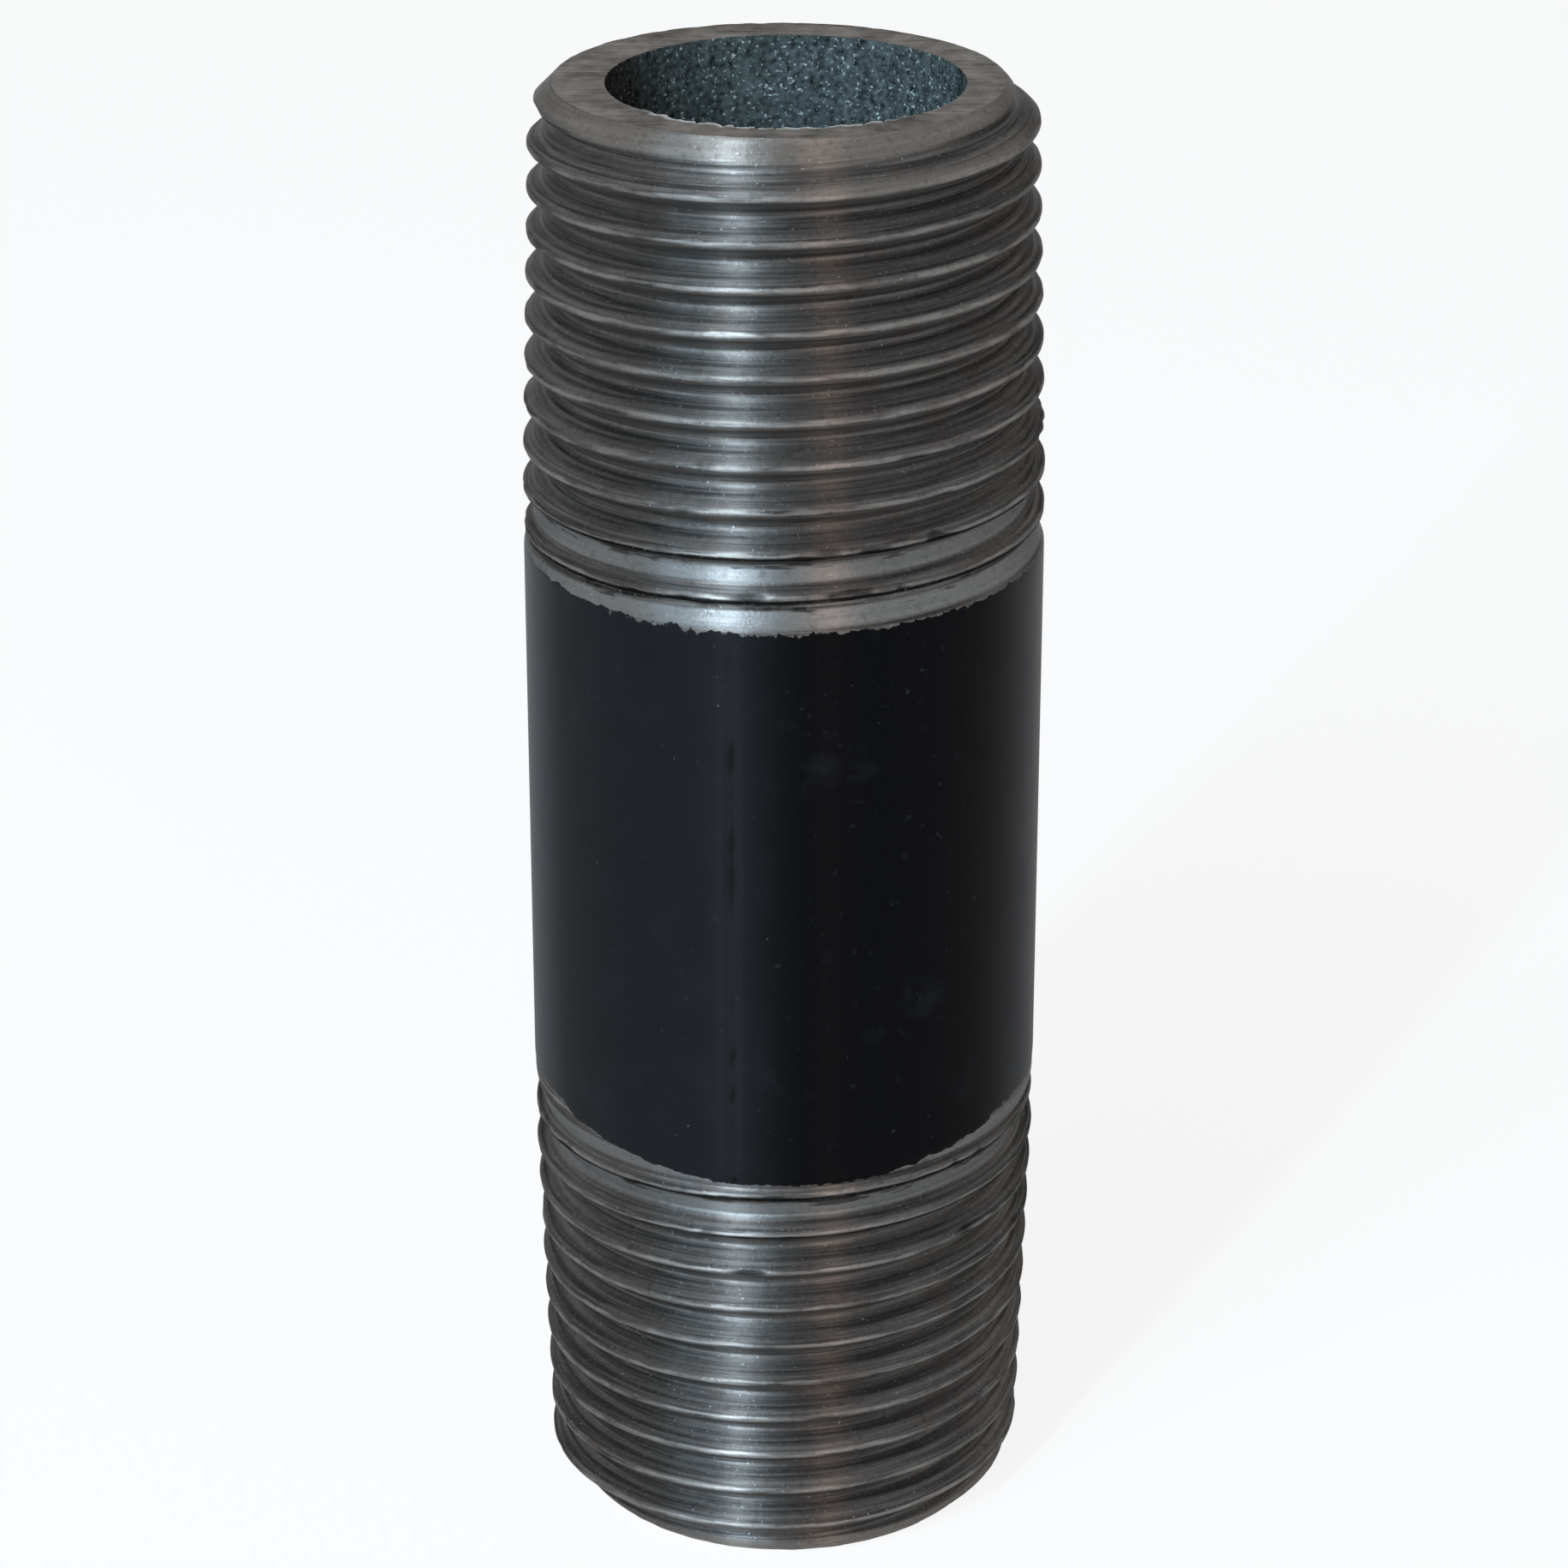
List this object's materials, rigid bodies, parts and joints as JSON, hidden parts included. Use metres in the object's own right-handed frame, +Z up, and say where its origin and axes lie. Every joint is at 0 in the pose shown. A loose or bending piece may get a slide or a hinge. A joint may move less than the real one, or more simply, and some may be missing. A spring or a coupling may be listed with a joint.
{
  "type": "pipe nipple",
  "caption": "Short steel pipe nipple with a tapered male pipe thread on each end, a plain black lacquered middle and a through bore.",
  "frame": {"origin": "centre of the lower end face, on the bore axis", "axes": "+Z up the bore axis to the other end; +X is where each thread's first groove is measured"},
  "size_m": [0.0218, 0.0218, 0.0635],
  "materials": {
    "black_steel_pipe": "black lacquer on the plain middle, bare cut steel on the threads and ends"
  },
  "bodies": {
    "root": {"pipe_nipple": "black_steel_pipe"}
  },
  "joints": []
}
